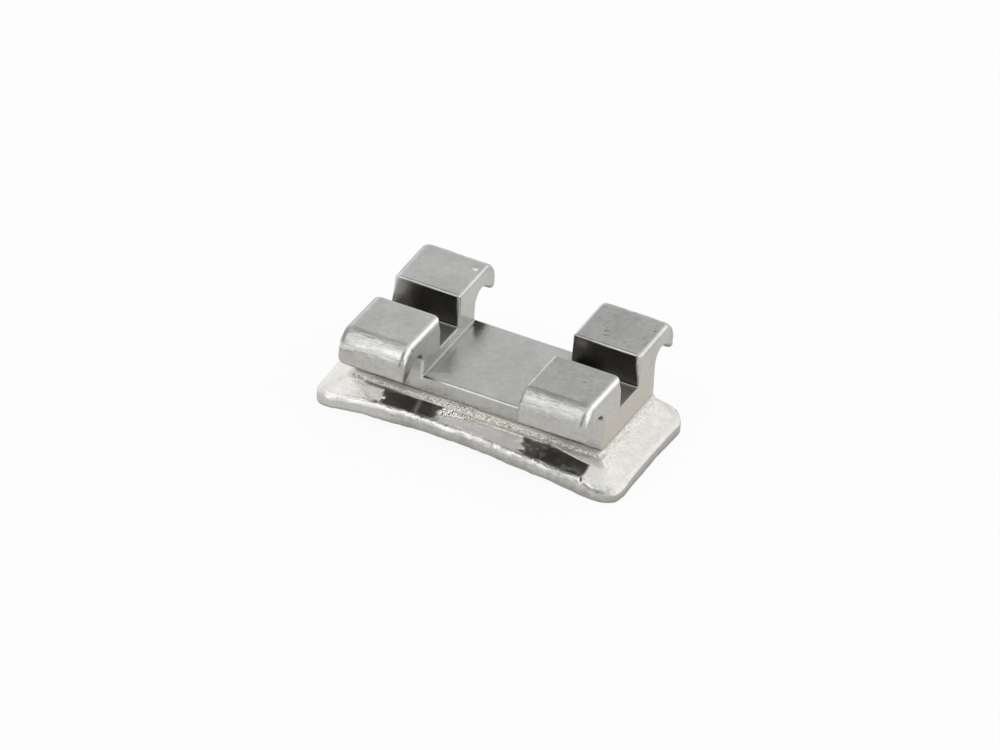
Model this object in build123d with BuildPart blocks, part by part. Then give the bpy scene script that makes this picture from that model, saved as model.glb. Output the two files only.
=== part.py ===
# Twin edgewise orthodontic bracket, in millimetres.
# X runs along the archwire slot, Y from the front wings to the back wings, Z away from the tooth.
# The origin is under the middle of the wings, on the flat surface that the pad's corners stand on.

from build123d import *
import math
import os

os.makedirs("parts", exist_ok=True)

# Driving dimensions

# Archwire slot and twin body
slot_width = 0.56
slot_depth = 0.535
body_length = 3.93
twin_length = 1.075
spine_width = 1.63
saddle_drop = 0.184
foot_drop = 0.44

# Tie wings
tip_span = 2.86
wing_height = 0.61
crown_rise = 0.05
roll_radius = 0.38
lip_radius = 0.07
groove_radius = 0.19
undercut_angle = 36.0
edge_radius = 0.04
fillet_room = 0.95

# Braze seam between the foot and the pad
braze_thickness = 0.05
braze_flare = 0.055
braze_corner_radius = 0.08

# Stamped pad
pad_length = 4.84
pad_width = 2.32
pad_corner_radius = 0.28
pad_set_forward = 0.06
pad_thickness = 0.1
rim_thickness = 0.07
plateau_margin = 0.01
flange_stations = 7

# Tooth contour under the pad: along the slot and across it
contour_radius_x = 13.0
contour_radius_y = 10.0

# Bonding mesh
mesh_thickness = 0.11
mesh_wire = 0.14
mesh_pitch = 0.31
mesh_inset = 0.01

# How far the cutting solids reach past what they cut
overhang = 0.1

# Tooth surface

across_reach = pad_width / 2 + overhang
along_reach = pad_length / 2 + overhang


def contour_drop(x, y, rise=0.0):
    """How far the tooth surface, offset outwards by rise, falls from its middle to the pad's point x, y."""
    along = contour_radius_x + rise
    across = contour_radius_y + rise
    ring = along - across + math.sqrt(across**2 - y**2)
    return along - math.sqrt(ring**2 - x**2)


# Mesh wires: how many fit each way inside the pad's outline
mesh_length = pad_length - 2 * mesh_inset
mesh_width = pad_width - 2 * mesh_inset
mesh_corner_radius = pad_corner_radius - mesh_inset
wires_along = int((mesh_width - mesh_wire) / mesh_pitch) + 1
wires_across = int((mesh_length - mesh_wire) / mesh_pitch) + 1


def mesh_end(y):
    """Where the outline of the mesh ends along X, at the distance y from the pad's middle line."""
    corner_depth = max(0.0, y - (mesh_width / 2 - mesh_corner_radius))
    return mesh_length / 2 - mesh_corner_radius + math.sqrt(mesh_corner_radius**2 - corner_depth**2)


# Levels, upwards from the surface that the ends of the wires stand on
outer_wire = (wires_along - 1) * mesh_pitch / 2
wire_edges = [outer_wire - mesh_wire / 2, outer_wire, outer_wire + mesh_wire / 2]
tooth_level = max(contour_drop(mesh_end(y), y) for y in wire_edges)
mesh_level = tooth_level + mesh_thickness
plateau_level = mesh_level + pad_thickness
foot_level = plateau_level + braze_thickness
slot_level = foot_level + foot_drop
saddle_level = slot_level - saddle_drop
wing_level = slot_level + slot_depth
crown_level = wing_level + crown_rise
lip_level = crown_level - wing_height
top_level = crown_level + overhang

pad_plane = Plane((0, -pad_set_forward, 0))


def tooth_form(rise):
    """Solid under the tooth surface, offset outwards by rise: an arc across the pad, swung along it."""
    level = tooth_level + rise
    side_level = level - contour_drop(0, across_reach, rise)
    deep_level = -overhang - contour_drop(along_reach, across_reach, rise)
    turn = math.degrees(math.asin(along_reach / (contour_radius_x - overhang)))
    centre = Vector(0, -pad_set_forward, tooth_level - contour_radius_x)
    start = Plane(centre, x_dir=(0, 1, 0), z_dir=(1, 0, 0)).rotated((0, -turn, 0))
    base = centre.Z
    with BuildPart() as form:
        with BuildSketch(start):
            with BuildLine():
                ThreePointArc(
                    (-across_reach, side_level - base),
                    (0, level - base),
                    (across_reach, side_level - base),
                )
                Polyline(
                    (across_reach, side_level - base),
                    (across_reach, deep_level - base),
                    (-across_reach, deep_level - base),
                    (-across_reach, side_level - base),
                )
            make_face()
        revolve(axis=Axis(centre, (0, 1, 0)), revolution_arc=2 * turn)
    return form.part


under_mesh = tooth_form(0)
under_cross_wires = tooth_form(mesh_thickness / 2)
under_pad = tooth_form(mesh_thickness)

# Bracket body

undercut_depth = (tip_span - spine_width) / 2
undercut_slope = math.radians(undercut_angle)
groove_level = lip_level + undercut_depth * math.tan(undercut_slope)

# The groove's radius, or what the sloping underside leaves room for beside the lip
underside = undercut_depth / math.cos(undercut_slope)
corner_share = math.tan((math.pi / 2 - undercut_slope) / 2)
groove_fit = min(groove_radius, fillet_room * (underside * corner_share - lip_radius))

with BuildPart() as bracket_body:
    # Section across the slot: slot wall, crowned top, rolled tip, lip, ligature groove and spine
    with BuildSketch(Plane.YZ):
        with BuildLine():
            FilletPolyline(
                (0, slot_level),
                (slot_width / 2, slot_level),
                (slot_width / 2, wing_level),
                (tip_span / 2, crown_level),
                (tip_span / 2, lip_level),
                (spine_width / 2, groove_level),
                (spine_width / 2, foot_level),
                (0, foot_level),
                radius=[0, edge_radius, roll_radius, lip_radius, groove_fit, 0],
            )
            mirror(about=Plane.YZ)
        make_face()
    extrude(amount=body_length / 2, both=True)
    # Saddle between the twins
    with BuildSketch(Plane.XY.offset(saddle_level)):
        Rectangle(body_length - 2 * twin_length, tip_span + overhang)
    extrude(amount=top_level - saddle_level, mode=Mode.SUBTRACT)
    # Softened outline on both ends of each twin
    end_edges = bracket_body.edges().filter_by(Plane.YZ)
    wing_edges = end_edges.filter_by_position(Axis.Z, slot_level, top_level, inclusive=(False, False))
    fillet(wing_edges, radius=edge_radius)

bracket_body.part.label = "bracket_body"
export_step(bracket_body.part, "parts/bracket_body.step")

# Braze seam

with BuildPart() as braze_seam:
    with BuildSketch(Plane.XY.offset(foot_level)):
        RectangleRounded(body_length, spine_width, braze_corner_radius)
    with BuildSketch(Plane.XY.offset(plateau_level)):
        RectangleRounded(
            body_length + 2 * braze_flare, spine_width + 2 * braze_flare, braze_corner_radius + braze_flare
        )
    loft()

braze_seam.part.label = "braze_seam"
export_step(braze_seam.part, "parts/braze_seam.step")

# Stamped pad

plateau_end = body_length / 2 + braze_flare + plateau_margin
plateau_side = spine_width / 2 + braze_flare + plateau_margin


def rim_level(x, y):
    """Height of the top of the pad at the point x, y of its rim."""
    return mesh_level - contour_drop(x, y, mesh_thickness) + rim_thickness


def past(start, end, reach):
    """The value that a straight fall from start to end comes to when it runs on by the share reach."""
    return start + (end - start) * reach


def flange_section(x):
    """Corners of the pad's section at x: a level middle with a flange falling to the rim on each side."""
    corners = []
    for side in (1, -1):
        inner = side * plateau_side + pad_set_forward
        rim = side * pad_width / 2
        reach = 1 + overhang / abs(rim - inner)
        outer = (past(inner, rim, reach), past(plateau_level, rim_level(x, rim), reach))
        corners.append([(inner, plateau_level), outer, (outer[0], -top_level)])
    return corners[0] + corners[1][::-1]


def end_section():
    """Corners of the pad's section past its end, where the end flange has fallen to the rim all across."""
    rim = pad_width / 2
    reach = 1 + overhang / (pad_length / 2 - plateau_end)
    end_level = past(plateau_level, rim_level(pad_length / 2, 0), reach)
    side_level = past(rim_level(plateau_end, rim), rim_level(pad_length / 2, rim), reach)
    corner = rim - pad_corner_radius
    outer = rim + overhang
    half = [(corner, end_level), (outer, side_level), (outer, -top_level)]
    return half + [(-y, z) for y, z in half[::-1]]


with BuildPart() as base_pad:
    # Hipped top: sections along the slot, with the end flanges bent down past the foot
    for station in range(flange_stations):
        station_x = plateau_end * (2 * station / (flange_stations - 1) - 1)
        with BuildSketch(Plane.YZ.offset(station_x).shift_origin((station_x, -pad_set_forward, 0))):
            with BuildLine():
                Polyline(*flange_section(station_x), close=True)
            make_face()
    loft(ruled=True)
    for side in (1, -1):
        hip_x = side * plateau_end
        tip_x = side * (pad_length / 2 + overhang)
        for section_x, section in ((hip_x, flange_section(hip_x)), (tip_x, end_section())):
            with BuildSketch(Plane.YZ.offset(section_x).shift_origin((section_x, -pad_set_forward, 0))):
                with BuildLine():
                    Polyline(*section, close=True)
                make_face()
        loft(ruled=True)
    # Rounded outline
    with BuildSketch(pad_plane):
        RectangleRounded(pad_length, pad_width, pad_corner_radius)
    extrude(amount=top_level, mode=Mode.INTERSECT)
    # Hollow for the mesh and the tooth
    add(under_pad, mode=Mode.SUBTRACT)

base_pad.part.label = "base_pad"
export_step(base_pad.part, "parts/base_pad.step")

# Bonding mesh

with BuildPart() as bonding_mesh:
    # Wires across the slot, in the half of the thickness next to the pad
    with BuildSketch(pad_plane):
        with GridLocations(mesh_pitch, mesh_pitch, wires_across, 1):
            Rectangle(mesh_wire, mesh_width)
    extrude(amount=plateau_level)
    add(under_cross_wires, mode=Mode.SUBTRACT)
    # Wires along the slot, as ridges through the whole thickness
    with BuildSketch(pad_plane):
        with GridLocations(mesh_pitch, mesh_pitch, 1, wires_along):
            Rectangle(mesh_length, mesh_wire)
    extrude(amount=plateau_level)
    # Cut to the pad's outline and laid between the tooth surface and the pad
    with BuildSketch(pad_plane):
        RectangleRounded(mesh_length, mesh_width, mesh_corner_radius)
    extrude(amount=plateau_level, mode=Mode.INTERSECT)
    add(under_pad, mode=Mode.INTERSECT)
    add(under_mesh, mode=Mode.SUBTRACT)

bonding_mesh.part.label = "bonding_mesh"
export_step(bonding_mesh.part, "parts/bonding_mesh.step")
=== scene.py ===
"""Looks of a twin edgewise orthodontic bracket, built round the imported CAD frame."""

import itertools
import math
from types import SimpleNamespace

import bpy
import numpy as np
from mathutils import Matrix, Vector


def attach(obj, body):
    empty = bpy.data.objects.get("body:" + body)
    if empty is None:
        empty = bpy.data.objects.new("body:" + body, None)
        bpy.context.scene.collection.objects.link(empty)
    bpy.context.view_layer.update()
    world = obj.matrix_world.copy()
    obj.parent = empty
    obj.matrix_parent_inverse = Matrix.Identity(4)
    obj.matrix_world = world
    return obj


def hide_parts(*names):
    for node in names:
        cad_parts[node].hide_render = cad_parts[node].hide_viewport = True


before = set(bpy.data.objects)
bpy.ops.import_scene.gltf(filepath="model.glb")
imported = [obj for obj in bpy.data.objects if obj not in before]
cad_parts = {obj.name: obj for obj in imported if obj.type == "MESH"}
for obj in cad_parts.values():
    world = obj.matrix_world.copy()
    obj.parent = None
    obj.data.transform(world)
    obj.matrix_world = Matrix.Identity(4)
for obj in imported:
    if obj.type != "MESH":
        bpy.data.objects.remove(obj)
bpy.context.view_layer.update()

# Sizes in millimetres, as in the CAD model

MM = 0.001

slot_width = 0.56
body_length = 3.93
twin_length = 1.075
spine_width = 1.63
tip_span = 2.86
roll_radius = 0.37
lip_radius = 0.06
groove_radius = 0.19

foot_level = 0.531
saddle_level = 0.801
slot_level = 0.971
wing_level = 1.506
lip_level = 0.946
groove_level = 1.393

# The flat ground top of a wing ends in a crease, where the rolled front begins
crease_y = 1.17
crease_level = 1.522
crease_turn = math.radians(18.5)

pad_length = 4.84
pad_width = 2.32
pad_corner = 0.28
pad_back_corner = 0.37
pad_middle = -0.06
plateau_level = 0.481
plateau_end = 2.03
plateau_side = 0.88
plateau_corner = 0.06
mesh_level = 0.381
mesh_thickness = 0.11
rim_thickness = 0.07
contour_x = 13.0
contour_y = 10.0


# Noise and small mathematics

cell_primes = (73856093, 19349663, 83492791)
seed_prime = 49979687


def noise(points, size, seed):
    """Smooth noise from -1 to 1 at each point, with features about size across."""
    place = np.asarray(points, float) / size + 11.7 * seed
    cell = np.floor(place).astype(np.int64)
    share = place - cell
    share = share * share * (3 - 2 * share)
    total = np.zeros(len(place))
    for corner in itertools.product((0, 1), repeat=3):
        mixed = seed * seed_prime
        for axis, prime in enumerate(cell_primes):
            mixed = mixed ^ ((cell[:, axis] + corner[axis]) * prime)
        mixed = mixed & 0x7FFFFFFF
        mixed = ((mixed ^ (mixed >> 13)) * 1274126177) & 0x7FFFFFFF
        mixed = ((mixed ^ (mixed >> 16)) * 668265263) & 0x7FFFFFFF
        weight = np.prod(np.where(corner, share, 1 - share), axis=1)
        total += weight * ((mixed >> 7 & 0xFFFF) / 32767.5 - 1)
    return total


def ease(low, high, value):
    """0 below low, 1 above high, and a smooth rise between them."""
    share = np.clip((value - low) / (high - low), 0, 1)
    return share * share * (3 - 2 * share)


def fade(low, high, value):
    """1 below low, 0 above high, and a smooth fall between them."""
    return 1 - ease(low, high, value)


def ridge(value, width):
    """1 where the value is 0, fading on both sides over about the width."""
    return np.exp(-((value / width) ** 2))


def along(line, x):
    """Height at x of a line through points (x, height)."""
    return np.interp(x, *zip(*line))


def contour_drop(x, y, rise):
    """How far the tooth surface, offset outwards by rise, falls from its middle to x, y."""
    ring = contour_x - contour_y + np.sqrt((contour_y + rise) ** 2 - y**2)
    return contour_x + rise - np.sqrt(ring**2 - x**2)


# Meshes

def make_piece(name, points, faces, cad_node, material, masks=None):
    """A smooth piece that stands for a CAD node, with named masks kept at its points."""
    mesh = bpy.data.meshes.new(name)
    mesh.from_pydata((np.asarray(points) * MM).tolist(), [], faces)
    mesh.polygons.foreach_set("use_smooth", [True] * len(mesh.polygons))
    for mask, values in (masks or {}).items():
        layer = mesh.attributes.new(mask, "FLOAT", "POINT")
        layer.data.foreach_set("value", np.asarray(values, np.float32))
    mesh.update()
    mesh.materials.append(material)
    piece = bpy.data.objects.new(name, mesh)
    bpy.context.scene.collection.objects.link(piece)
    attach(piece, "root")
    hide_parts(cad_node)


def rounded_outline(corners, steps=14):
    """Dense open outline through corners (y, z, radius), each turned with its own radius."""
    points = [np.array(corners[0][:2], float)]
    for before, corner, after in zip(corners, corners[1:], corners[2:]):
        here = np.array(corner[:2], float)
        back = np.array(before[:2], float) - here
        ahead = np.array(after[:2], float) - here
        back /= np.linalg.norm(back)
        ahead /= np.linalg.norm(ahead)
        half = math.acos(float(np.clip(back @ ahead, -1, 1))) / 2
        run = corner[2] / math.tan(half)
        middle = back + ahead
        centre = here + middle / np.linalg.norm(middle) * corner[2] / math.sin(half)
        first = here + back * run - centre
        last = here + ahead * run - centre
        turn = math.pi - 2 * half
        for share in np.linspace(0, 1, steps):
            mixed = math.sin((1 - share) * turn) * first + math.sin(share * turn) * last
            points.append(centre + mixed / math.sin(turn))
    points.append(np.array(corners[-1][:2], float))
    return np.array(points)


def section_grid(outline, low, high, step):
    """Signed distance to the outline on a grid over the half section; negative is inside the metal."""
    across = np.arange(low[0], high[0], step)
    upward = np.arange(low[1], high[1], step)
    y, z = np.meshgrid(across, upward, indexing="ij")
    nearest = np.full(y.shape, 1e9)
    inside = np.zeros(y.shape, bool)
    for start, end in zip(outline, np.roll(outline, -1, axis=0)):
        run = end - start
        on_axis = start[0] == 0 and end[0] == 0
        if not on_axis:
            share = ((y - start[0]) * run[0] + (z - start[1]) * run[1]) / (run @ run)
            share = np.clip(share, 0, 1)
            gap = np.hypot(y - start[0] - share * run[0], z - start[1] - share * run[1])
            nearest = np.minimum(nearest, gap)
        if start[1] != end[1]:
            spans = (start[1] > z) != (end[1] > z)
            meets = start[0] + (z - start[1]) * run[0] / run[1]
            inside ^= spans & (y < meets)
    return np.where(inside, -nearest, nearest)


def read_grid(grid, low, step, y, z):
    """Values of the grid between its points."""
    place_y = np.clip((y - low[0]) / step, 0, grid.shape[0] - 1.001)
    place_z = np.clip((z - low[1]) / step, 0, grid.shape[1] - 1.001)
    cell_y = place_y.astype(int)
    cell_z = place_z.astype(int)
    share_y = place_y - cell_y
    share_z = place_z - cell_z
    lower = grid[cell_y, cell_z] * (1 - share_y) + grid[cell_y + 1, cell_z] * share_y
    upper = grid[cell_y, cell_z + 1] * (1 - share_y) + grid[cell_y + 1, cell_z + 1] * share_y
    return lower * (1 - share_z) + upper * share_z


def round_meet(first, second, radius):
    """Where two fields overlap, with the edge between them rounded."""
    reach_first = np.maximum(first + radius, 0)
    reach_second = np.maximum(second + radius, 0)
    return np.minimum(-radius, np.maximum(first, second)) + np.hypot(reach_first, reach_second)


def round_join(first, second, radius):
    """Two fields together, with the corner between them filled to a radius."""
    return -round_meet(-first, -second, radius)


def surface_net(field, low, high, step):
    """Closed quad mesh at the zero level of field, with one point in each cell that it passes through."""
    axes = [np.arange(start, end, step) for start, end in zip(low, high)]
    value = field(*np.meshgrid(*axes, indexing="ij"))
    cells = tuple(np.array(value.shape) - 1)
    total = np.zeros(cells + (3,))
    count = np.zeros(cells)
    crossings = []
    for axis in range(3):
        near = np.delete(value, -1, axis)
        far = np.delete(value, 0, axis)
        crossed = (near < 0) != (far < 0)
        start = np.argwhere(crossed)
        point = start.astype(float)
        point[:, axis] += near[crossed] / (near[crossed] - far[crossed])
        others = [k for k in range(3) if k != axis]
        round_edge = []
        for shift in ((0, 0), (1, 0), (1, 1), (0, 1)):
            cell = start.copy()
            cell[:, others[0]] -= shift[0]
            cell[:, others[1]] -= shift[1]
            np.add.at(total, tuple(cell.T), point)
            np.add.at(count, tuple(cell.T), 1)
            round_edge.append(cell)
        crossings.append((round_edge, (near[crossed] >= 0) != (axis == 1)))
    used = count > 0
    number = np.zeros(cells, int)
    number[used] = np.arange(used.sum())
    points = total[used] / count[used][:, None] * step + np.array(low)
    faces = []
    for round_edge, turned in crossings:
        quads = np.stack([number[tuple(cell.T)] for cell in round_edge], axis=1)
        quads[turned] = quads[turned][:, ::-1]
        faces += quads.tolist()
    return points, faces


def slope_of(points, field, step):
    """Gradient of the field at the points."""
    slopes = []
    for shift in np.eye(3) * step:
        slopes.append((field(*(points + shift).T) - field(*(points - shift).T)) / (2 * step))
    return np.stack(slopes, axis=1)


def settle(points, field, step, rounds=4):
    """Moves the points onto the zero level of the field."""
    for _ in range(rounds):
        slope = slope_of(points, field, step)
        size = np.maximum((slope**2).sum(1), 0.05)
        points = points - slope * (field(*points.T) / size)[:, None]
    return points


def ring_faces(rings, count):
    """Quads between closed rings of count points, with a cap on the first and the last."""
    faces = []
    for ring in range(rings - 1):
        low = ring * count
        high = low + count
        for k in range(count):
            after = (k + 1) % count
            faces.append((low + k, low + after, high + after, high + k))
    faces.append(tuple(range(count))[::-1])
    faces.append(tuple(range((rings - 1) * count, rings * count)))
    return faces


def rounded_rectangle(half_x, half_y, radius, along_x, along_y, corner):
    """Points and outward directions round a rounded rectangle, with so many points on each stretch."""
    points = []
    outward = []
    centres = np.array([(1, 1), (-1, 1), (-1, -1), (1, -1)]) * (half_x - radius, half_y - radius)
    for turn, centre in enumerate(centres):
        for k in range(corner):
            angle = math.pi / 2 * (turn + k / corner)
            way = np.array([math.cos(angle), math.sin(angle)])
            points.append(centre + radius * way)
            outward.append(way)
        way = np.round([math.cos(math.pi / 2 * (turn + 1)), math.sin(math.pi / 2 * (turn + 1))])
        straight = along_x if turn % 2 == 0 else along_y
        for share in np.arange(straight) / straight:
            points.append(centre * (1 - share) + centres[(turn + 1) % 4] * share + radius * way)
            outward.append(way)
    return np.array(points), np.array(outward)


# Materials

def add_node(tree, kind, inputs=None, **settings):
    """A new node in the tree, with these settings and its inputs set or linked."""
    made = tree.nodes.new("ShaderNode" + kind)
    for name, value in settings.items():
        setattr(made, name, value)
    for name, value in (inputs or {}).items():
        value = getattr(value, "socket", value)
        if isinstance(value, bpy.types.NodeSocket):
            tree.links.new(value, made.inputs[name])
        else:
            made.inputs[name].default_value = value
    return made


class Signal:
    """What a node gives out; sums, products and rises of it are new nodes."""

    def __init__(self, finish, socket):
        self.finish = finish
        self.socket = socket

    def __add__(self, other):
        return self.finish.math("ADD", self, other)

    def __sub__(self, other):
        return self.finish.math("SUBTRACT", self, other)

    def __rsub__(self, other):
        return self.finish.math("SUBTRACT", other, self)

    def __mul__(self, other):
        return self.finish.math("MULTIPLY", self, other)

    def rise(self, low, high, start=0.0, end=1.0):
        inputs = {"Value": self, "From Min": low, "From Max": high, "To Min": start, "To Max": end}
        return self.finish.node("MapRange", inputs, interpolation_type="SMOOTHSTEP")


class Finish:
    """A material and short calls for the nodes that its procedural finish is made of."""

    def __init__(self, name):
        self.material = bpy.data.materials.new(name)
        self.material.use_nodes = True
        self.tree = self.material.node_tree
        self.tree.nodes.clear()
        place = self.node("TexCoord", {}, "Object")
        self.place = self.node("VectorMath", {0: place, "Scale": 1 / MM}, operation="SCALE")

    def node(self, kind, inputs, output=0, **settings):
        return Signal(self, add_node(self.tree, kind, inputs, **settings).outputs[output])

    def math(self, operation, first, second, clamp=False):
        return self.node("Math", {0: first, 1: second}, operation=operation, use_clamp=clamp)

    def turned(self, angle):
        return self.node("VectorRotate", {"Vector": self.place, "Angle": angle}, rotation_type="Z_AXIS")

    def tint(self, value, colour):
        return self.node("CombineXYZ", {axis: value * share for axis, share in enumerate(colour)})

    def noise(self, size, detail, roughness, stretch=(1.0, 1.0, 1.0), distortion=0.0, place=None):
        stretched = self.node("VectorMath", {0: place or self.place, 1: stretch}, operation="MULTIPLY")
        inputs = {"Vector": stretched, "Scale": 1 / size, "Detail": detail}
        inputs |= {"Roughness": roughness, "Distortion": distortion}
        return self.node("TexNoise", inputs)

    def grains(self, size):
        inputs = {"Vector": self.place, "Scale": 1 / size, "Smoothness": 0.35}
        return self.node("TexVoronoi", inputs, "Distance", feature="SMOOTH_F1")

    def mask(self, name):
        return self.node("Attribute", {}, "Fac", attribute_name=name)

    def blend(self, share, first, second):
        return self.node("Mix", {0: share, 6: first, 7: second}, 2, data_type="RGBA")

    def bump(self, height, depth):
        return self.node("Bump", {"Strength": 1.0, "Distance": depth * MM, "Height": height})

    def metal(self, colour, roughness, normal, metallic=1.0):
        inputs = {"Base Color": colour, "Metallic": metallic, "Roughness": roughness, "Normal": normal}
        add_node(self.tree, "OutputMaterial", {"Surface": self.node("BsdfPrincipled", inputs)})
        return self.material


def grey(value, warmth=0.0):
    """A grey of that brightness, a little warm or cool."""
    return (value * (1 + warmth), value, value * (1 - 2 * warmth), 1.0)


# Colours that marks give the body, each over those before it. After the warm tone they are painted shade and
# painted dark reflections, and last a painted highlight.
body_tones = {
    "warm": (0.575, 0.548, 0.50, 1.0),
    "slot": grey(0.285, 0.03),
    "under": grey(0.09, 0.05),
    "painted_dark": grey(0.13, 0.05),
    "deepest_painted_shade": grey(0.03, 0.05),
    "glint": grey(0.96),
}


def body_steel():
    """Satin hand-finished steel: faintly mottled and scratched, with painted shade in the slot and under the
    wings, and painted highlights.
    """
    finish = Finish("body_steel_finish")
    mottle = finish.noise(0.5, 3.0, 0.5)
    fleck = finish.noise(0.07, 4.0, 0.7)
    grain = finish.noise(0.025, 2.0, 0.6, stretch=(0.4, 1.0, 1.0))
    streak = finish.noise(0.035, 4.0, 0.7, stretch=(0.22, 1.0, 1.0))
    turned = finish.turned(math.radians(-27))
    scratch = finish.noise(0.04, 2.0, 0.6, stretch=(0.30, 1.0, 1.0), place=turned, distortion=0.15)
    spread = finish.noise(0.35, 1.0, 0.5)
    cut = scratch.rise(0.60, 0.68) * spread.rise(0.42, 0.58)
    worn = finish.mask("worn")
    rolled = finish.mask("rolled")
    pits = streak.rise(0.58, 0.70) * rolled
    bright = mottle.rise(0.3, 0.7, 0.52, 0.588) + fleck.rise(0.3, 0.7, -0.035, 0.035)
    bright = bright - worn * 0.10 - worn * cut * 0.22 - pits * 0.16
    colour = finish.tint(bright * (1.0 - finish.mask("shade")), (1.0, 1.0, 0.98))
    for mask, tone in body_tones.items():
        colour = finish.blend(finish.mask(mask), colour, tone)
    height = grain * 0.3 + streak * rolled * 1.6 - cut * worn
    return finish.metal(colour, mottle.rise(0.25, 0.75, 0.20, 0.27), finish.bump(height, 0.006))


# Tones of the pad, in pairs to mix between: its beads, its sheared rim and the painted dark reflection and
# shade on its front flange; and its tan
bead_tones = ((1.0, 0.985, 0.94, 1.0), (0.76, 0.72, 0.64, 1.0))
shear_tones = (grey(0.45, 0.01), grey(0.62, 0.01))
painted_reflection_tones = ((0.018, 0.016, 0.010, 1.0), (0.044, 0.040, 0.027, 1.0))
tan_tone = (0.62, 0.595, 0.535, 1.0)


def sheared_rim(finish, shear):
    """Colour of the sheared rim: greyer than the pad, paler at the left and dark towards its lower edge."""
    specks = finish.noise(0.06, 1.0, 0.5)
    colour = finish.blend(shear.rise(0.30, 0.70), *shear_tones)
    colour = finish.blend(specks.rise(0.72, 0.80), colour, grey(0.26, 0.02))
    colour = finish.blend(finish.mask("long"), grey(0.50, 0.01), colour)
    colour = finish.blend(finish.mask("left") * 0.55, colour, grey(0.73, 0.01))
    return finish.blend(finish.mask("low") * 0.55, colour, grey(0.26, 0.02))


def pad_steel():
    """Bright uneven pad: granular and warm on the ends, polished on the long flanges, with painted dark
    reflection and shade on the front flange.
    """
    finish = Finish("pad_steel_finish")
    grain = finish.noise(0.030, 3.0, 0.65)
    lumps = finish.noise(0.13, 3.0, 0.55)
    chips = finish.noise(0.05, 3.0, 0.6)
    flecks = finish.noise(0.045, 1.0, 0.5)
    shear = finish.noise(0.10, 4.0, 0.65, stretch=(1.0, 1.0, 0.8))
    beads = finish.grains(0.036)
    polished = finish.mask("polished")
    rim = finish.mask("rim")
    gold = finish.mask("gold")
    lip = finish.mask("lip")
    dusk = finish.mask("dusk")
    coarse = 1.0 - polished * 0.8
    bright = lumps.rise(0.3, 0.7, 0.93, 1.0) - finish.mask("right") * 0.14
    bright = bright - grain.rise(0.38, 0.28, 0.0, 0.22) * coarse
    colour = finish.tint(bright, (1.0, 0.98, 0.935))
    colour = finish.blend(gold, colour, finish.blend(beads.rise(0.35, 0.70), *bead_tones))
    colour = finish.blend(flecks.rise(0.66, 0.76) * coarse * 0.22, colour, grey(0.45, 0.02))
    colour = finish.blend(rim, colour, sheared_rim(finish, shear))
    colour = finish.blend(lip, colour, grey(0.97, 0.012))
    colour = finish.blend(finish.mask("tan").rise(0.0, 0.4), colour, tan_tone)
    # Painted dark reflection and shade on the front flange
    colour = finish.blend(dusk, colour, finish.blend(lumps.rise(0.35, 0.65), *painted_reflection_tones))
    rough = 0.42 - polished * 0.29 - lip * 0.14
    height = (grain * 0.6 + lumps * 0.8) * coarse - beads * gold * 0.7
    height = height * (1.0 - rim * 0.6) + shear * rim * finish.mask("long") * 0.6 + chips * lip * 0.45
    normal = finish.bump(height * (1.0 - dusk * 0.7), 0.022)
    grainy = finish.math("MAXIMUM", (1.0 - polished) * (1.0 - rim), lip * 0.5)
    metallic = finish.math("SUBTRACT", 1.0 - grainy * 0.5, dusk * 0.6, clamp=True)
    return finish.metal(colour, rough, normal, metallic)


# Tones of the braze: its smooth metal, its beads with painted shade between them, that shade lighter at the
# right end, and painted glints
smooth_braze = ((0.80, 0.765, 0.685, 1.0), (0.90, 0.87, 0.80, 1.0))
beaded_braze = ((1.0, 1.0, 0.97, 1.0), (0.58, 0.53, 0.42, 1.0))
pale_braze = ((1.0, 0.99, 0.955, 1.0), (0.86, 0.83, 0.76, 1.0))
braze_glint = (1.0, 0.99, 0.94, 1.0)


def braze_metal():
    """Pale granular filler, bright on the beads with painted shade between them and painted glints."""
    finish = Finish("braze_finish")
    grain = finish.noise(0.02, 3.0, 0.7)
    beads = finish.grains(0.036)
    row = finish.mask("beads")
    # Painted shade between the beads, lighter at the right end, and painted glints on some grains
    between = beads.rise(0.40, 0.72)
    tone = finish.blend(between, *beaded_braze)
    tone = finish.blend(grain.rise(0.62, 0.75), tone, braze_glint)
    tone = finish.blend(finish.mask("pale"), tone, finish.blend(between, *pale_braze))
    smooth = finish.blend(grain.rise(0.35, 0.65), *smooth_braze)
    normal = finish.bump((grain * 0.3 - beads) * (row * 0.85 + 0.15), 0.03)
    return finish.metal(finish.blend(row, smooth, tone), 0.30, normal, 0.3)


def mesh_steel():
    """Fine drawn wire."""
    finish = Finish("mesh_steel_finish")
    grain = finish.noise(0.05, 3.0, 0.6)
    colour = finish.blend(grain.rise(0.3, 0.7), grey(0.50, 0.01), grey(0.62, 0.01))
    return finish.metal(colour, grain.rise(0.3, 0.7, 0.28, 0.42), finish.bump(grain, 0.003))


# Bracket body

slot_half = slot_width / 2
twin_half = twin_length / 2
body_half = body_length / 2
spine_half = spine_width / 2
tip_half = tip_span / 2
twin_middle = (body_length - twin_length) / 2
inner_face = twin_middle - twin_half

# Corners of the half section, as y, z and radius
section_corners = (
    (0, slot_level, 0),
    (slot_half, slot_level, 0.015),
    (slot_half, wing_level, 0.04),
    (crease_y, crease_level, 0.02),
    (tip_half, crease_level - (tip_half - crease_y) * math.tan(crease_turn), roll_radius),
    (tip_half, lip_level, lip_radius),
    (spine_half, groove_level, groove_radius),
    (spine_half, foot_level, 0.03),
    (0, foot_level, 0),
)
section_low = (0.0, 0.40)
section_high = (1.65, 1.75)
section_step = 0.005
net_step = 0.021
net_margins = (0.05, 0.06)

# Where along the slot, and how high, the rolled front of the front wings turns into their flat front
roll_line = ((-1.88, 1.27), (-0.97, 1.38), (1.14, 1.375), (1.89, 1.405))

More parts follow.
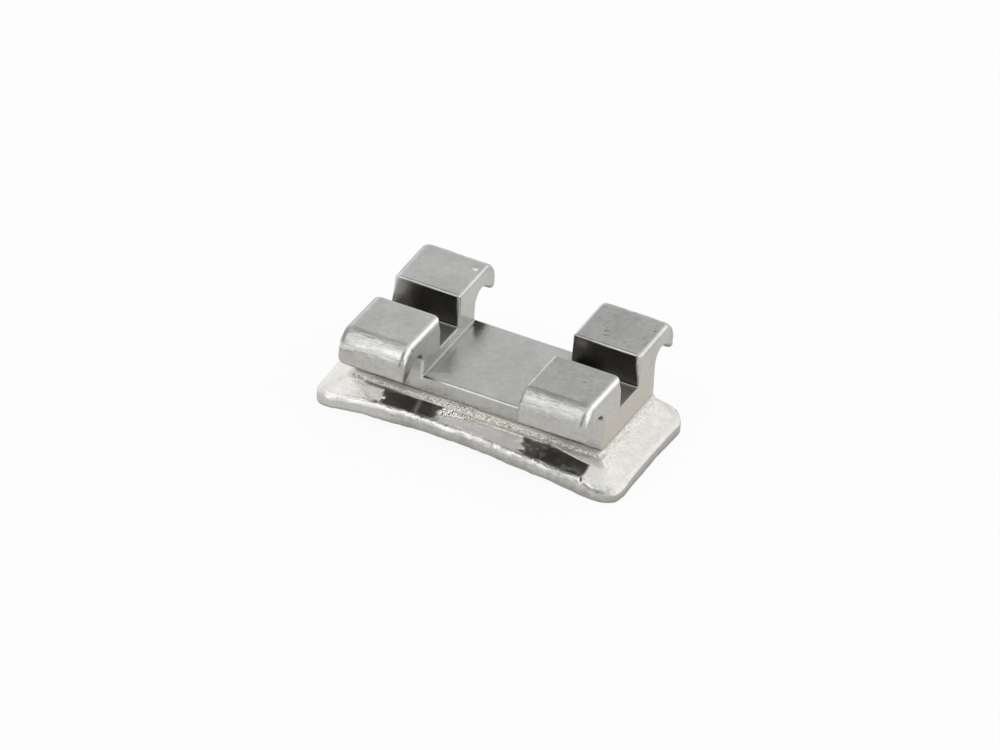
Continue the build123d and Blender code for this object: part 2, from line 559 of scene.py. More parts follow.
# How round the outer and inner ends of the twins are, and the edges of the spine and saddle
left_round = 0.12
right_round = 0.09
inner_round = 0.06
front_round = 0.12
front_low_round = 0.04
spine_round = 0.03
foot_corner_round = 0.08
saddle_front_round = 0.05
saddle_back_round = 0.015
least_fill = 0.006
saddle_fill = 0.035
fill_spread = 0.10

# A small ding in the top of the left back wing, painted bright as a highlight, and a painted highlight on a
# corner of its slot
ding_place = (-1.02, 1.0)
ding_size = 0.04
ding_depth = 0.016
corner_highlight_place = (-1.92, 0.30, 1.49)
corner_highlight_size = 0.055


def body_field_of(grid):
    """The body's field: twins with rounded ends, joined to the spine with its lowered saddle."""
    def field(x, y, z):
        section = read_grid(grid, section_low, section_step, np.abs(y), z)
        reach = np.abs(x)
        wing = np.maximum(ease(1.0, 1.4, z), ease(0.92, 1.12, np.abs(y)))
        end_round = np.where(reach > twin_middle, np.where(x < 0, left_round, right_round), inner_round)
        lip_round = front_low_round + (front_round - front_low_round) * ease(1.26, 1.44, z)
        end_round = np.where((y < 0) & (np.sign(x) * (reach - twin_middle) > 0), lip_round, end_round)
        end_round = spine_round + (end_round - spine_round) * wing
        twin = round_meet(section, np.abs(reach - twin_middle) - twin_half, end_round)
        foot_corner = fade(0.55, 0.66, z) * (x > 0) * (y < 0)
        foot_round = spine_round + (foot_corner_round - spine_round) * foot_corner
        spine = round_meet(section, reach - body_half, foot_round)
        saddle_round = np.where(y < 0, saddle_front_round, saddle_back_round)
        spine = round_meet(spine, z - saddle_level, saddle_round)
        near = ridge(np.hypot(reach - inner_face, z - saddle_level), fill_spread)
        fill = least_fill + saddle_fill * near * fade(0.70, 0.78, np.abs(y))
        return round_join(twin, spine, fill)
    return field


def body_surface():
    """Faces of the even body, and its points with where each lies and which way it faces."""
    outline = rounded_outline(section_corners)
    field = body_field_of(section_grid(outline, section_low, section_high, section_step))
    low = np.array((-body_half, -tip_half, foot_level)) - net_margins[0]
    high = np.array((body_half, tip_half, crease_level)) + net_margins[1]
    points, faces = surface_net(field, low, high, net_step)
    points = settle(points, field, net_step / 4)
    outward = slope_of(points, field, net_step / 4)
    outward /= np.maximum(np.linalg.norm(outward, axis=1), 1e-6)[:, None]
    x, y, z = points.T
    at = SimpleNamespace(points=points, outward=outward, x=x, y=y, z=z)
    at.out_x, at.out_y, at.out_z = outward.T
    at.reach = np.abs(x)
    at.aside = np.abs(y)
    at.left = x < 0
    at.right = x > 0
    at.front = y < 0
    at.back = y > 0
    to_right = np.sign(x) * (at.reach - twin_middle)
    at.from_right = twin_half - to_right
    at.from_left = twin_half + to_right
    at.from_middle = np.abs(at.reach - twin_middle)
    at.rolled = ease(crease_y - 0.02, crease_y + 0.05, at.aside) * ease(lip_level, lip_level + 0.1, z)
    lengthwise = points * (1, 0, 0)
    at.ragged = 0.02 * noise(lengthwise, 0.13, 18) + 0.012 * noise(lengthwise, 0.05, 19)
    at.above_roll = z - along(roll_line, x) - at.ragged
    ding = ridge(np.hypot(x - ding_place[0], y - ding_place[1]), ding_size)
    at.ding = ding * (z > wing_level - 0.05)
    return at, faces


def body_dents(at):
    """How far hand finishing raised the surface, or sank it where negative."""
    points = at.points
    dents = 0.0015 * noise(points, 0.30, 1) + 0.0006 * noise(points, 0.09, 2)
    dents += at.rolled * (0.007 * noise(points * (0.6, 1, 1), 0.16, 3) + 0.0035 * noise(points, 0.06, 4))
    dents -= 0.006 * at.rolled * ridge(at.above_roll, 0.022)
    return dents - ding_depth * at.ding


def slot_marks(at):
    """Which points are in the slot, and masks of the painted shade and painted dark reflection in it, with
    the darkest stretches.
    """
    inside = (at.aside < slot_half + 0.012) & (at.z < wing_level - 0.012) & (at.z > slot_level - 0.03)
    inside &= at.from_middle < twin_half - 0.005
    past_corner = np.hypot(np.maximum(0.075 - at.from_right, 0), np.maximum(at.z - wing_level + 0.082, 0))
    inside &= past_corner < 0.07
    open_end = ease(twin_half - 0.10, twin_half - 0.01, at.from_middle) * ease(slot_level, wing_level, at.z)
    # Painted shade on the right back wall, darkest, but lighter at a spot near its top
    right_wall = inside * at.right * at.back * fade(0.15, 0.60, at.from_left)
    less_shaded_spot = ridge(at.from_left - 0.16, 0.10) * ridge(wing_level - at.z - 0.09, 0.07)
    # Painted shade on the left back wall and on the slot floor at the left
    low_share = fade(0.25, 0.6, (at.z - slot_level) / (wing_level - slot_level))
    left_wall = inside * at.left * at.back * ease(0.10, 0.30, at.from_left + 0.25 * low_share)
    left_wall = left_wall * fade(0.45, 0.75, at.from_left)
    left_bed = inside * at.left * ease(0.6, 0.9, at.out_z)
    return inside, {
        "slot": inside * (1 - 0.6 * open_end * at.left),
        "deepest_painted_shade": 0.85 * right_wall * (1 - 0.7 * less_shaded_spot),
        "painted_dark": np.max([0.90 * right_wall, 0.70 * left_wall, 0.35 * left_bed], axis=0),
    }


def wing_marks(at):
    """Masks of the wings: painted shade on the undersides, worn tops, painted dark lines by creases and the
    lip, and painted highlights on edges.
    """
    # Painted shade under the wings; their tops are worn by scratches
    under = ease(0.25, 0.6, -at.out_z) * (at.aside > spine_half - 0.02) * (at.z > lip_level - 0.02)
    top = ease(0.85, 0.95, at.out_z) * (at.z > wing_level - 0.08)
    front_roll = at.rolled * at.front
    # A painted dark line just below the roll line, and a painted highlight band above it
    patchy = ease(-0.35, 0.35, noise(at.points * (1, 0.3, 0.3), 0.16, 27))
    roll_edge = ridge(at.above_roll + 0.012, 0.011) * front_roll * patchy
    roll_band = ease(-0.006, 0.008, at.above_roll) * fade(0.03, 0.12, at.above_roll) * front_roll
    # A painted dark reflection beside the bevel at the right end of the front wings; the painted highlights
    # keep clear of it
    dark_reflection_line = ridge(at.from_right - 0.085 - 0.3 * at.ragged, 0.018) * (at.y < -1.05)
    dark_reflection_line = dark_reflection_line * ease(1.26, 1.31, at.z) * fade(1.42, 1.48, at.z + at.ragged)
    clear_of_reflection = 1 - np.clip(1.5 * dark_reflection_line, 0, 1)
    # A painted highlight on that bevel
    right_end = (at.y < -0.3) * (at.from_right < twin_half) * ease(1.27, 1.40, at.z)
    bevel = ridge(at.out_x - 0.62, 0.20) * right_end * clear_of_reflection
    # Painted dark lines along the crease and at the lower tip of the left front wing's inner end
    crease = ridge(at.aside - crease_y - 0.6 * at.ragged, 0.013) * at.front * (at.z > 1.4)
    tip = fade(1.08, 1.24, at.z) * ease(1.20, 1.32, -at.y) * ease(0.45, 0.8, at.out_x) * at.left
    # A painted highlight on a corner of the left back wing's slot
    corner_highlight = ridge(np.linalg.norm(at.points - corner_highlight_place, axis=1), corner_highlight_size)
    # Painted shade on the edges of the left ends
    left_edge = ease(0.10, 0.35, -at.out_x) * fade(0.75, 0.95, -at.out_x) * (at.reach > twin_middle) * at.left
    return {
        "under": under,
        "rolled": at.rolled,
        "worn": top * ease(-0.4, 0.6, at.x),
        "shade": 0.30 * left_edge * ease(0.3, 0.6, at.out_z) + 0.07 * front_roll * ease(0.0, 0.8, at.x),
        # The ding painted bright, and painted highlights on the slot corner, the bevel and the rolled fronts
        "glint": np.max([
            ease(0.35, 0.7, at.ding), 0.75 * corner_highlight, 0.55 * bevel,
            roll_band * np.where(at.left, 0.50, 0.08) * clear_of_reflection,
        ], axis=0),
        "painted_dark": np.max([0.85 * dark_reflection_line, 0.30 * crease, 0.80 * tip, 0.45 * roll_edge], axis=0),
    }


def spine_marks(at):
    """Masks of the spine and the saddle: painted shade on the sides and in corners, a painted reflection on
    the saddle, a painted highlight on an edge, and the warm right end.
    """
    sideways = np.abs(at.out_y)
    # Painted shade on the sides of the spine, deeper under the wings
    side = ease(0.5, 0.8, sideways) * (at.aside < spine_half + 0.05) * (at.aside > 0.7)
    below_wing = ease(inner_face - 0.05, inner_face + 0.08, at.reach) * fade(1.45, 1.70, at.reach)
    below_wing = below_wing * np.maximum(
        ease(0.80, 0.95, at.z), ease(inner_face + 0.15, inner_face + 0.35, at.reach))
    # Painted shade on the inner ends at the front
    inner_end = ease(0.6, 0.9, -np.sign(at.x) * at.out_x) * (at.aside < spine_width) * at.front
    # A painted dark reflection of the left front wing on the saddle
    past_image = 0.89 * (at.x + 0.82) + 0.455 * (at.y + 0.057)
    below_image = 0.5 * (at.x + 0.57) - 0.87 * (at.y + 0.545)
    image = fade(-0.03, 0.02, past_image) * fade(-0.05, 0.03, below_image)
    image = image * ease(0.8, 0.95, at.out_z) * (at.z < saddle_level + 0.02)
    # A painted highlight along the spine's edge at the left front wing's inner end
    edge_line = ridge(at.reach - inner_face - 0.012, 0.016) * ridge(at.y + 0.80, 0.03)
    edge_line = edge_line * at.left * ease(0.70, 0.76, at.z) * fade(1.02, 1.10, at.z)
    # Painted shade along the foot and in the saddle's inner corners
    foot_line = ridge(at.z - foot_level - 0.005, 0.018) * ease(0.3, 0.7, sideways)
    corner = ridge(np.hypot(at.reach - inner_face + 0.012, at.z - saddle_level - 0.012), 0.032)
    shade = side * (0.13 + 0.27 * below_wing) * fade(1.5, 1.7, at.reach)
    return {
        "warm": fade(0.90, 1.0, at.z) * ease(0.6, 0.9, at.out_x) * (at.x > 1.8),
        "shade": shade + 0.15 * inner_end + 0.22 * image,
        "glint": 0.6 * edge_line,
        "painted_dark": np.maximum(0.50 * corner, 0.55 * foot_line),
    }


def build_body():
    """Bracket body with its hand-finished unevenness."""
    at, faces = body_surface()
    in_slot, slot = slot_marks(at)
    wings = wing_marks(at)
    spine = spine_marks(at)
    masks = slot | wings | spine
    masks["shade"] = wings["shade"] + spine["shade"]
    masks["glint"] = np.maximum(wings["glint"], spine["glint"])
    masks["painted_dark"] = np.max([slot["painted_dark"], wings["painted_dark"], spine["painted_dark"]], axis=0)
    points = at.points + at.outward * (body_dents(at) * ~in_slot)[:, None]
    make_piece("bracket_body_form", points, faces, "bracket_body", body_steel(), masks)


# Stamped pad

pad_masks = ("rim", "polished", "gold", "dusk", "lip", "long", "tan", "right", "left", "low")

# Points along, across and round each corner, and rings from the level middle to the underside
pad_counts = (330, 110, 24)
plateau_insets = (0.5, 0.2, 0.06, 0.012)
flange_spans = ((0.0, 0.3, 10), (0.3, 0.75, 11), (0.75, 1.0, 8))
wall_rings = 7
skirt_rings = 5
under_rings = 8

# How the rim turns down on the long sides and at the ends, as shares of the turn outwards and downwards
rim_round = 0.06
end_turn_out = 0.11
end_turn_down = 0.10
rim_turn = ((0.14, 0.04), (0.26, 0.13), (0.55, 0.41), (0.84, 0.70), (0.95, 0.84), (1.0, 1.0))
end_turn = ((0.25, 0.13), (0.46, 0.27), (0.65, 0.43), (0.82, 0.62), (0.94, 0.81), (1.0, 1.0))
skirt_round = 0.03
skirt_depth = 0.105
frame_width = 0.06
frame_slope = 0.02
least_level = 0.002

# How much lower the rim runs along the front, and by x how far its top edge sinks there and stands forward
front_sag = 0.03
front_sink = (
    (-2.35, 0.0), (-2.1, 0.04), (-1.8, 0.045), (-1.45, 0.02), (-1.25, 0.0), (-0.6, 0.034),
    (0.0, 0.026), (0.8, 0.028), (1.45, 0.043), (2.05, 0.026), (2.3, 0.0),
)
front_reach = ((-0.6, 0.0), (0.0, 0.027), (0.8, 0.062), (1.45, 0.058), (2.05, 0.06), (2.4, 0.03))
left_reach = 0.016
corner_fall = 0.05
notch_x = 1.85
nick_x = -1.45

# The long flanges are a little hollow, and end where the ends of the pad bend down
hollow_depth = 0.004
bend_right = 1.92
bend_right_lean = 0.10
bend_left = 1.79
bend_left_lean = 0.29
bend_rise = 0.03

# Beside the left bend the flange dips
dip_start = 1.42
dip_slope = 0.10


def under_height(x, y):
    """Height of the pad's underside at x, y from the pad's middle."""
    return mesh_level - contour_drop(x, y, mesh_thickness)


def flat(plan):
    """Points of a plan, for noise that only depends on the plan."""
    return np.column_stack([plan, np.zeros(len(plan))])


def pad_outline():
    """The rim and the level middle in plan, point by point round the pad, and the turn between them."""
    outer, outward = rounded_rectangle(pad_length / 2, pad_width / 2, pad_corner, *pad_counts)
    centre = np.array([pad_length / 2, pad_width / 2]) - pad_back_corner
    beyond = ((outer - centre) > 0).all(axis=1)[:, None]
    way = (outer - centre) / np.linalg.norm(outer - centre, axis=1)[:, None]
    outer = np.where(beyond, centre + pad_back_corner * way, outer)
    outward = np.where(beyond, way, outward)
    inner, _ = rounded_rectangle(plateau_end, plateau_side, plateau_corner, *pad_counts)
    side = ease(0.55, 0.98, np.abs(outward[:, 1]))
    front = outward[:, 1] < 0
    along_front = front * ease(0.2, 0.7, np.abs(outward[:, 1]))
    wave = 0.009 * noise(flat(outer), 0.30, 5) + 0.007 * noise(flat(outer), 0.10, 6)
    outer = outer + outward * (wave * (0.35 + 0.65 * side))[:, None]
    outer = outer + outward * (along_front * along(front_reach, outer[:, 0]))[:, None]
    outer[:, 0] -= left_reach * ease(1.7, 2.3, -outer[:, 0])
    at = SimpleNamespace(outer=outer, outward=outward, inner=inner, side=side, front=front)
    at.along_front = along_front
    at.turn_out = rim_round + (end_turn_out - rim_round) * (1 - side)
    at.turn_down = rim_round + (end_turn_down - rim_round) * (1 - side)
    at.edge = outer - outward * at.turn_out[:, None]
    # Where the seam beside the braze is painted dark as shade
    at.seam = front * side * ease(-1.78, -1.66, inner[:, 0]) * fade(-1.35, -0.95, inner[:, 0])
    return at


def add_rim_levels(at):
    """Heights of the rim's top, lip and lower edge, and where its front is notched, grooved and chipped."""
    x, y = at.outer.T
    spot = flat(at.outer)
    reach = np.abs(x)
    sag = front_sag * ease(-1.7, -1.1, x) * fade(1.95, 2.25, x) * at.front * at.side
    rise = at.side * bend_rise * ease(1.1, 1.9, reach) * (1 - np.clip((reach - 1.86) / 0.3, 0, 1))
    fall = corner_fall * ease(1.88, 2.04, x) * ease(0.5, 1.05, -y)
    at.rim_z = under_height(x, y) + rim_thickness + rise - sag - fall - at.along_front * along(front_sink, x)
    at.notch = ridge(x - notch_x, 0.028) * at.front
    at.groove = ease(1.86, 1.92, x) * fade(2.12, 2.32, x) * at.front
    at.chipped = ease(-0.1, 0.5, x) * at.front
    lip = 0.016 + 0.015 * noise(spot, 0.24, 7) + 0.014 * noise(spot, 0.09, 8) + 0.008 * noise(spot, 0.04, 26)
    lip = np.maximum(lip * (0.1 + 0.9 * ease(-1.60, -1.30, x)), 0) * at.side
    at.lip = lip + 0.004 - 0.03 * at.notch
    low_z = under_height(x, y) - skirt_depth + 0.008 * noise(spot, 0.20, 9) + 0.005 * noise(spot, 0.08, 10)
    low_z = low_z - 1.2 * sag - 0.01 * ease(1.0, 1.8, x) * at.front * at.side
    at.low_z = np.maximum(low_z, least_level)


def unchipped(at, spot):
    """Share of the bright lip that is left where it is chipped."""
    return 1 - 0.75 * at.chipped * fade(-0.25, 0.25, noise(spot * (1, 0.5, 1), 0.12, 28))


def flange_ring(at, share):
    """A ring of the flanges, at a share of the way from the level middle to the turn of the rim."""
    plan = at.inner * (1 - share) + at.edge * share
    x = plan[:, 0]
    spot = flat(plan)
    bend = np.where(x > 0, bend_right - bend_right_lean * share, bend_left - bend_left_lean * share)
    ragged = 0.05 * noise(spot, 0.15, 20) + 0.03 * noise(spot, 0.05, 21)
    ring = SimpleNamespace(share=share, plan=plan, x=x, spot=spot, bend=bend, ragged=ragged)
    ring.flange = at.side * ease(-0.01, 0.03, bend - np.abs(x))
    ring.streak = 0.12 * noise(spot * (0.3, 1, 1), 0.045, 29)
    ring.strip = 0.03 + 0.20 * ease(1.15, 1.85, x) + 0.5 * ragged
    ring.facet = fade(-1.48, -1.43, x - 0.095 * share + 1.3 * ragged)
    return ring


def flange_height(at, ring):
    """Height of a ring of the flanges, with their hollow, dip, lumps and raised lip."""
    share = ring.share
    run = np.linalg.norm(at.edge - at.inner, axis=1) / np.linalg.norm(at.outer - at.inner, axis=1)
    height = plateau_level - (plateau_level - at.rim_z) * share * run
    height = height - ring.flange * hollow_depth * math.sin(math.pi * share)
    dip = dip_slope * np.clip(-dip_start - ring.x, 0, 0.3) * ease(-0.25, 0.12, ring.bend + ring.x) * at.side
    height = height - dip * ease(0.0, 0.08, share) * fade(0.7, 0.95, share)
    height = height + at.lip * ease(0.82, 0.98, share + 0.06 * noise(ring.spot, 0.07, 25))
    lumps = 0.004 * noise(ring.spot, 0.12, 11) + 0.002 * noise(ring.spot, 0.05, 12)
    return height + lumps * ease(0.0, 0.1, share) * (1 - 0.85 * ring.flange)


def flange_painted_reflection_and_shade(at, ring):
    """Painted dark reflection and shade on the front flange: two patches, the seam beside the braze, the
    notch and a dark nick.
    """
    x, share, ragged = ring.x, ring.share, ring.ragged
    # Two patches of painted dark reflection of the wing undersides
    left = ease(-0.90, -0.78, x) * fade(-0.47, -0.40, x + 0.20 * share + 0.6 * ragged + 0.5 * ring.streak)
    left = left * fade(0.74, 0.84, share + ragged)
    right = ease(0.88, 1.00, x + ragged + 1.8 * ring.streak) * ease(ring.strip, ring.strip + 0.08, share)
    right = right * ease(-0.02, 0.03, ring.bend - x + 0.4 * ragged) * fade(0.84, 0.93, share + 1.4 * ragged)
    fleck = ease(0.35, 0.65, noise(ring.spot * (0.5, 1, 1), 0.045, 30))
    patches = np.maximum(left, right * (1 - 0.15 * fleck)) * at.front
    # Painted shade in the seam beside the braze and in the notch, and a dark nick
    seam = at.seam * fade(0.02, 0.10, share + 0.4 * ragged)
    notch = ease(0.5, 0.9, at.notch) * ease(0.78, 0.9, share)
    nick = ridge(x - nick_x, 0.05) * at.front * ease(0.66, 0.82, share + ragged) * fade(0.93, 1.0, share)
    return np.max([0.94 * patches, 0.8 * seam, 0.9 * notch, 0.85 * nick], axis=0)


def flange_tan(at, ring):
    """Tan heat colour of the front flange: along the braze, above the right patch and on the left bend."""
    x, share, ragged = ring.x, ring.share, ring.ragged
    patch = ease(0.85, 1.05, x) * fade(ring.strip - 0.03, ring.strip + 0.05, share)
    seam = ease(-0.45, 0.1, x) * fade(0.08, 0.2, share + ragged)
    band = ease(-0.40, -0.10, x) * fade(0.90, 1.05, x)
    band = band * fade(0.12, 0.45, share + 1.5 * ragged + ring.streak)
    bend = ring.facet * ease(-0.10, 0.0, x + ring.bend) * fade(0.75, 0.9, share)
    return np.max([patch, 0.8 * seam, 0.24 * band, 0.16 * bend], axis=0) * at.front * at.side


def flange_marks(at, ring):
    """Masks of a ring of the flanges."""
    x, share, ragged = ring.x, ring.share, ring.ragged
    dusk = flange_painted_reflection_and_shade(at, ring)
    tan = flange_tan(at, ring)
    spread = ease(-0.60, -0.46, x) * fade(-0.35, 0.25, x)
    gold_reach = np.where(at.side > 0.5, 0.02 + 0.36 * spread + 0.8 * ragged, 0.30 + 4 * ragged)
    gold = fade(gold_reach - 0.06, gold_reach + 0.10, share) * (0.4 + 0.6 * at.side)
    polished = ring.flange * np.where(x < 0, 1 - ring.facet, ease(-0.02, 0.05, ring.bend - x))
    polished = polished * fade(0.87, 0.97, share) * fade(0.5, 1.0, tan) * np.where(at.front, 1.0, 0.4)
    lip = ease(0.86, 0.95, share + 1.6 * ragged) * at.side * unchipped(at, ring.spot)
    return {
        "rim": ease(0.85, 1.0, share) * at.side, "polished": polished, "gold": gold * (1 - dusk),
        "dusk": dusk, "lip": lip, "tan": tan,
    }


def build_pad():
    """Pad with a hollowed front and back flange, bent ends, a raised uneven rim and a sheared edge."""
    at = pad_outline()
    add_rim_levels(at)
    count = len(at.outer)
    rings = []
    masks = {name: [] for name in pad_masks}

    def add_ring(plan, height, **marks):
        x, y = plan.T
        rings.append(np.column_stack([x, y + pad_middle, np.broadcast_to(height, count)]))
        marks |= {"long": at.side, "right": ease(0.0, 1.0, x), "left": ease(0.8, 1.5, -x)}
        for name, values in masks.items():
            values.append(np.broadcast_to(marks.get(name, 0.0), count))

    for inset in plateau_insets:
        # Painted shade in the seam beside the braze
        seam = 0.8 * at.seam if inset == plateau_insets[-1] else 0.0
        plan = at.inner * (1 - inset * np.array([0.3, 0.6]))
        add_ring(plan, plateau_level, gold=0.4 * (1 - at.side), dusk=seam)
    shares = [np.linspace(*span, endpoint=False) for span in flange_spans]
    for share in [*np.concatenate(shares), 1.0]:
        ring = flange_ring(at, share)
        add_ring(ring.plan, flange_height(at, ring), **flange_marks(at, ring))
    top = rings[-1][:, 2]
    for (out, down), (end_out, end_down) in zip(rim_turn, end_turn):
        plan = at.edge + at.outward * (at.turn_out * (end_out + (out - end_out) * at.side))[:, None]
        height = top - at.turn_down * (end_down + (down - end_down) * at.side)
        lip = at.side * fade(0.35, 0.75, out + 0.30 * noise(flat(plan), 0.09, 23)) * unchipped(at, flat(plan))
        # A painted dark line in the rim's groove at the right front corner
        line = 0.75 * at.groove * ridge(end_down - 0.35, 0.16)
        add_ring(plan, height, rim=at.side + (1 - at.side) * ease(0.75, 1.0, end_down), dusk=line, lip=lip)
    wall_top = top - at.turn_down
    wall_low = at.low_z + skirt_round
    low_start = 0.1 + 0.6 * ease(0.8, 1.5, -at.outer[:, 0])
    for share in np.linspace(0, 1, wall_rings + 1)[1:]:
        height = wall_top * (1 - share) + wall_low * share
        ripple = 0.009 * noise(np.column_stack([at.outer, height * 2]), 0.09, 13) * math.sin(math.pi * share)
        add_ring(at.outer + at.outward * ripple[:, None], height, rim=1.0, low=ease(low_start, 1.0, share))
    for angle in np.linspace(0, math.pi / 2, skirt_rings + 1)[1:]:
        plan = at.outer - at.outward * skirt_round * (1 - math.cos(angle))
        add_ring(plan, at.low_z + skirt_round * (1 - math.sin(angle)), rim=1.0, low=1.0)
    add_ring(at.outer - at.outward * frame_width, at.low_z, rim=1.0)
    inside = at.outer - at.outward * (frame_width + frame_slope)
    add_ring(inside, under_height(*inside.T), rim=1.0)
    for share in np.linspace(0, 1, under_rings + 1)[1:]:
        plan = inside * (1 - share) + at.inner * (0.6, 0.1) * share
        add_ring(plan, under_height(*plan.T), rim=0.5)
    masks = {name: np.concatenate(values) for name, values in masks.items()}
    faces = [face[::-1] for face in ring_faces(len(rings), count)]
    make_piece("base_pad_form", np.concatenate(rings), faces, "base_pad", pad_steel(), masks)


# Braze seam

braze_counts = (420, 180, 16)
braze_corner = 0.08
braze_flare = 0.055
front_flare = 0.035
braze_lap = 0.02
braze_sink = 0.012


def build_braze():
    """Granular bead of filler between the foot and the pad."""
    plan, outward = rounded_rectangle(body_half, spine_half, braze_corner, *braze_counts)
    count = len(plan)
    spot = flat(plan)
    front = ease(0.5, 0.9, -outward[:, 1])
    rich = ease(-0.75, -0.50, plan[:, 0]) * fade(0.0, 0.5, plan[:, 0])
    flare = braze_flare + front_flare * front + 0.014 * noise(spot, 0.30, 14) + 0.014 * noise(spot, 0.05, 15)
    top = foot_level - 0.004 + 0.006 * noise(spot, 0.12, 16)
    start = 0.30 * noise(spot, 0.12, 24) + 0.48 - 0.40 * rich
    rings = [np.column_stack([plan - outward * braze_lap, np.full(count, foot_level)])]
    beads = [np.zeros(count)]
    for angle in np.linspace(0, math.pi / 2, 13):
        reach = flare * math.sin(angle)
        height = plateau_level + (top - plateau_level) * math.cos(angle)
        ring = np.column_stack([plan + outward * reach[:, None], height])
        row = ease(start - 0.12, start + 0.12, angle / (math.pi / 2))
        beads.append(row * front + (1 - front) * ease(0.1, 0.4, angle))
        grain = 0.014 * noise(ring, 0.038, 17) * beads[-1]
        ring[:, :2] += outward * grain[:, None]
        ring[:, 2] += grain * 0.6
        rings.append(ring)
    lowest = plan + outward * (flare * 0.9)[:, None]
    rings.append(np.column_stack([lowest, np.full(count, plateau_level - braze_sink)]))
    beads.append(beads[-1])
    faces = [face[::-1] for face in ring_faces(len(rings), count)]
    masks = {"beads": np.concatenate(beads), "pale": np.tile(ease(0.3, 0.8, outward[:, 0]), len(rings))}
    make_piece("braze_seam_form", np.concatenate(rings), faces, "braze_seam", braze_metal(), masks)


# Bonding mesh

mesh_pitch = 0.31
wires_along = 7
wires_across = 16
wire_width = 0.062
wire_height = 0.028
weave = 0.026
wire_overlap = 0.01
steps_per_pitch = 10


def wire(path, sideways, sides=10):
    """Points and faces of one flattened wire along a path."""
    upward = np.array([0, 0, 1.0])
    points = []
    for k in range(sides):
        angle = 2 * math.pi * k / sides
        points.append(path + sideways * wire_width * math.cos(angle) + upward * wire_height * math.sin(angle))
    points = np.stack(points, axis=1).reshape(-1, 3)
    return points, ring_faces(len(path), sides)


def outline_reach(across, half_x, half_y, corner):
    """How far a rounded outline reaches along one way, at the distance across from its middle line."""
    depth = max(0.0, across - (half_y - corner))
    return half_x - corner + math.sqrt(max(0.0, corner**2 - depth**2))


def build_mesh():
    """Woven wires in the hollow under the pad, each passing over and under the ones that cross it."""
    points = []
    faces = []
    start = 0
    middle = mesh_thickness / 2
    for lines, other, swap in ((wires_along, wires_across, False), (wires_across, wires_along, True)):
        half = (pad_width / 2, pad_length / 2) if swap else (pad_length / 2, pad_width / 2)
        sideways = np.array([1.0, 0, 0]) if swap else np.array([0, 1.0, 0])
        for line in range(lines):
            across = (line - (lines - 1) / 2) * mesh_pitch
            ends = []
            for corner in (pad_corner, pad_back_corner if across > 0 else pad_corner):
                reach = outline_reach(abs(across) + wire_width, *half, corner)
                ends.append(reach - frame_width + wire_overlap)
            steps = int((ends[0] + ends[1]) / mesh_pitch * steps_per_pitch)
            run = np.linspace(-ends[0], ends[1], steps)
            phase = math.pi * (run / mesh_pitch + (other - 1) / 2 + line + (1 if swap else 0))
            x, y = (np.full(steps, across), run) if swap else (run, np.full(steps, across))
            level = mesh_level - middle - contour_drop(x, y, middle)
            lift = weave * np.cos(phase) * ease(0.02, 0.12, np.minimum(run + ends[0], ends[1] - run))
            made, made_faces = wire(np.column_stack([x, y + pad_middle, level + lift]), sideways)
            points.append(made)
            faces += [tuple(start + k for k in (face[::-1] if swap else face)) for face in made_faces]
            start += len(made)
    points = np.concatenate(points)
    make_piece("bonding_mesh_form", points, faces, "bonding_mesh", mesh_steel())


# Studio

camera_azimuth = math.radians(24.88)
camera_elevation = math.radians(34.95)
camera_roll = math.radians(-3.62)
camera_distance = 185.0
camera_clip = (0.01, 10.0)
sensor_width = 36.0

# In the picture's pixels: its width, a millimetre at the aim, and where the aim lies from the middle
picture_width = 1000
camera_scale = 70.82
camera_aim = (5.32, -18.8)


def build_camera():
    """Camera at the place that the photograph was taken from."""
    back = Vector((
        math.sin(camera_azimuth) * math.cos(camera_elevation),
        -math.cos(camera_azimuth) * math.cos(camera_elevation),
        math.sin(camera_elevation)))
    level = Vector((math.cos(camera_azimuth), math.sin(camera_azimuth), 0))
    rise = back.cross(level)
    right = level * math.cos(camera_roll) - rise * math.sin(camera_roll)
    upward = level * math.sin(camera_roll) + rise * math.cos(camera_roll)
    place = Vector((0, 0, slot_level)) + back * camera_distance
    place += (upward * camera_aim[1] - right * camera_aim[0]) / camera_scale
    data = bpy.data.cameras.new("camera")
    data.sensor_fit = "HORIZONTAL"
    data.sensor_width = sensor_width
    data.lens = sensor_width * camera_distance * camera_scale / picture_width
    data.clip_start, data.clip_end = camera_clip
    camera = bpy.data.objects.new("camera", data)
    turn = Matrix((right, upward, back)).transposed().to_4x4()
    camera.matrix_world = Matrix.Translation(place * MM) @ turn
    bpy.context.scene.collection.objects.link(camera)
    bpy.context.scene.camera = camera


# The floor in metres, its colours in light and in the metal, and how much of it is plain white to the camera
floor_half = 0.4
floor_gap = 0.00001
floor_colour = (0.85, 0.85, 0.85, 1.0)
floor_in_metal = (0.82, 0.805, 0.765, 1.0)
floor_white = 0.92
white = (1.0, 1.0, 1.0, 1.0)


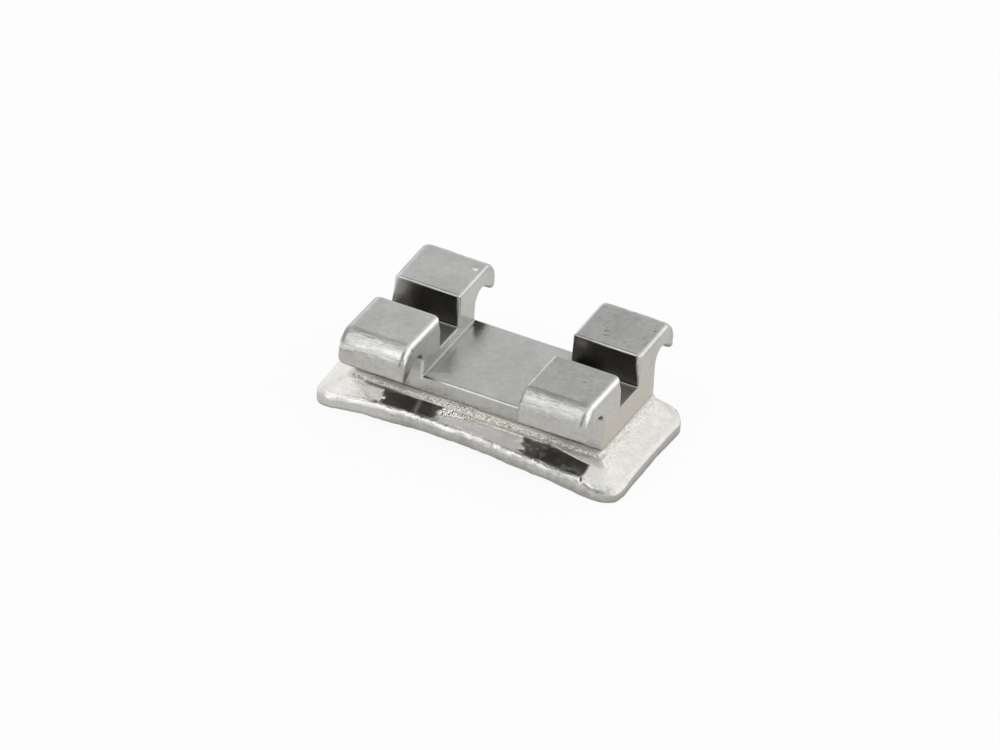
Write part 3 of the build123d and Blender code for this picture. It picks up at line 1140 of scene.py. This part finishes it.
def build_floor():
    """Plain white floor that takes a faint shadow; from below it is not seen."""
    mesh = bpy.data.meshes.new("floor")
    corners = [(x * floor_half, y * floor_half, 0) for x, y in ((-1, -1), (1, -1), (1, 1), (-1, 1))]
    mesh.from_pydata(corners, [], [(0, 1, 2, 3)])
    floor = bpy.data.objects.new("floor", mesh)
    floor.location = (0, 0, -floor_gap)
    bpy.context.scene.collection.objects.link(floor)
    material = bpy.data.materials.new("floor_finish")
    material.use_nodes = True
    tree = material.node_tree
    tree.nodes.clear()

    def mix(share, first, second):
        return add_node(tree, "MixShader", {0: share, 1: first, 2: second}).outputs[0]

    rays = add_node(tree, "LightPath").outputs
    behind = add_node(tree, "NewGeometry").outputs["Backfacing"]
    diffuse = add_node(tree, "BsdfDiffuse", {"Color": floor_colour}).outputs[0]
    plain = add_node(tree, "Emission", {"Color": white}).outputs[0]
    sheen = add_node(tree, "Emission", {"Color": floor_in_metal}).outputs[0]
    clear = add_node(tree, "BsdfTransparent").outputs[0]
    mirrored = mix(rays["Is Glossy Ray"], diffuse, sheen)
    seen = mix(rays["Is Camera Ray"], mirrored, mix(floor_white, diffuse, plain))
    add_node(tree, "OutputMaterial", {"Surface": mix(behind, seen, clear)})
    mesh.materials.append(material)


# Soft lights of the tent: direction, where the glow starts and is full (cosines), strength
tent_base = 0.76
tent_lights = (
    ((-0.35, -0.62, 0.70), 0.87, 0.985, 0.9),
    ((0.93, -0.16, 0.33), 0.75, 0.95, 0.8),
    ((0.50, 0.45, 0.70), 0.70, 0.95, 0.15),
    ((0.62, 0.74, 0.24), 0.90, 0.975, 0.6),
    ((0.75, -0.62, 0.22), 0.93, 0.99, -0.6),
    ((-0.33, 0.15, 0.93), 0.88, 0.99, -0.3),
    ((-0.66, 0.74, 0.10), 0.91, 0.985, 0.7),
)


def build_world():
    """White tent with soft lights; the camera itself sees plain white."""
    world = bpy.data.worlds.new("tent")
    bpy.context.scene.world = world
    world.use_nodes = True
    tree = world.node_tree
    tree.nodes.clear()
    direction = add_node(tree, "TexCoord").outputs["Generated"]
    total = tent_base
    for towards, start, full, strength in tent_lights:
        ways = {0: direction, 1: Vector(towards).normalized()}
        facing = add_node(tree, "VectorMath", ways, operation="DOT_PRODUCT").outputs["Value"]
        glow = {"Value": facing, "From Min": start, "From Max": full, "To Max": strength}
        glow = add_node(tree, "MapRange", glow, interpolation_type="SMOOTHSTEP").outputs[0]
        total = add_node(tree, "Math", {0: glow, 1: total}).outputs[0]
    tent = add_node(tree, "Background", {"Color": white, "Strength": total}).outputs[0]
    plain = add_node(tree, "Background", {"Color": white}).outputs[0]
    seen = add_node(tree, "LightPath").outputs["Is Camera Ray"]
    shown = add_node(tree, "MixShader", {0: seen, 1: tent, 2: plain}).outputs[0]
    add_node(tree, "OutputWorld", {"Surface": shown})


build_body()
build_pad()
build_braze()
build_mesh()
build_camera()
build_floor()
build_world()
bpy.context.scene.view_settings.view_transform = "Standard"
